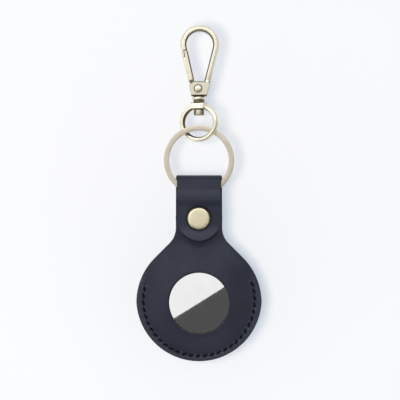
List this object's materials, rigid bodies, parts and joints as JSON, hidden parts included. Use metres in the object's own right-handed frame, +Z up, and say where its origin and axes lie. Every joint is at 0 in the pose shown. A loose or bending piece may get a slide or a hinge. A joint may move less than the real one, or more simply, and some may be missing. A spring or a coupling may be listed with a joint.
{
  "type": "tracker tag holder",
  "caption": "Round leather holder for a tracker tag, with a snap strap on a flat key ring and a brass swivel hook with a sprung gate. The tag's steel face shows in its window.",
  "frame": {"origin": "bearing point under the hook's crown, on the line of pull that the swivel turns about", "axes": "+Z up along the line of pull, +X to the right seen from the front, front with the window towards -Y"},
  "size_m": [0.0506, 0.0124, 0.1358],
  "materials": {
    "cast_brass": "antique, satin, worn bright on the edges",
    "turned_brass": "antique, satin",
    "wire_brass": "antique, satin",
    "snap_brass": "antique, satin",
    "leather": "dark navy, smooth waxed grain with cut edges",
    "thread": "dark navy waxed thread",
    "spring_steel": "hardened",
    "polished_steel": "polished",
    "tag_plastic": "white, glossy",
    "seal_rubber": "matte",
    "cell_steel": "plated",
    "contact_metal": "gold plated",
    "frame_plastic": "moulded",
    "board": "solder mask",
    "coil_wire": "enamelled copper"
  },
  "bodies": {
    "hook": {"hook_body": "cast_brass", "gate_pin": "turned_brass", "gate_spring": "spring_steel", "swivel_post": "turned_brass"},
    "gate": {"gate": "cast_brass"},
    "eye": {"swivel_eye": "wire_brass"},
    "ring": {"key_ring": "wire_brass"},
    "holder": {"front_panel": "leather", "back_panel": "leather", "strap_fold": "leather", "seam_thread_front": "thread", "seam_thread_back": "thread", "snap_stud": "snap_brass", "snap_post": "snap_brass"},
    "flap": {"strap_tongue": "leather", "snap_cap": "snap_brass", "snap_socket": "snap_brass", "snap_spring": "spring_steel"},
    "tag": {"tag_shell": "tag_plastic", "cover_seal": "seal_rubber", "coin_cell": "cell_steel", "battery_contacts": "contact_metal", "inner_frame": "frame_plastic", "circuit_board": "board", "speaker_magnet": "cell_steel", "speaker_coil": "coil_wire"},
    "cover": {"tag_cover": "polished_steel"}
  },
  "joints": [
    {"name": "gate_open", "type": "hinge", "parent": "hook", "child": "gate", "pos_m": [-0.00035, 0, -0.0235], "axis": [0, 1, 0], "range_deg": [0, 24], "stiffness_Nm_per_rad": 0.02, "springref_deg": -22.92, "deforming": ["gate_spring"]},
    {"name": "eye_swivel", "type": "hinge", "parent": "hook", "child": "eye", "pos_m": [0, 0, -0.0304], "axis": [0, 0, 1], "continuous": true},
    {"name": "ring_twist", "type": "hinge", "parent": "eye", "child": "ring", "pos_m": [0, 0, -0.0403], "axis": [0, 0, 1], "range_deg": [0, 126]},
    {"name": "holder_slide", "type": "hinge", "parent": "ring", "child": "holder", "pos_m": [0, 0, -0.0523], "axis": [0, 1, 0], "range_deg": [-80, 80]},
    {"name": "flap_open", "type": "hinge", "parent": "holder", "child": "flap", "pos_m": [0, 0, -0.0619], "axis": [-1, 0, 0], "range_deg": [0, 100], "deforming": ["strap_fold", "snap_spring"]},
    {"name": "tag_spin", "type": "hinge", "parent": "holder", "child": "tag", "pos_m": [0, 0.002, -0.1096], "axis": [0, 1, 0], "continuous": true},
    {"name": "cover_twist", "type": "hinge", "parent": "tag", "child": "cover", "pos_m": [0, 0.002, -0.1096], "axis": [0, -1, 0], "range_deg": [0, 20]}
  ]
}
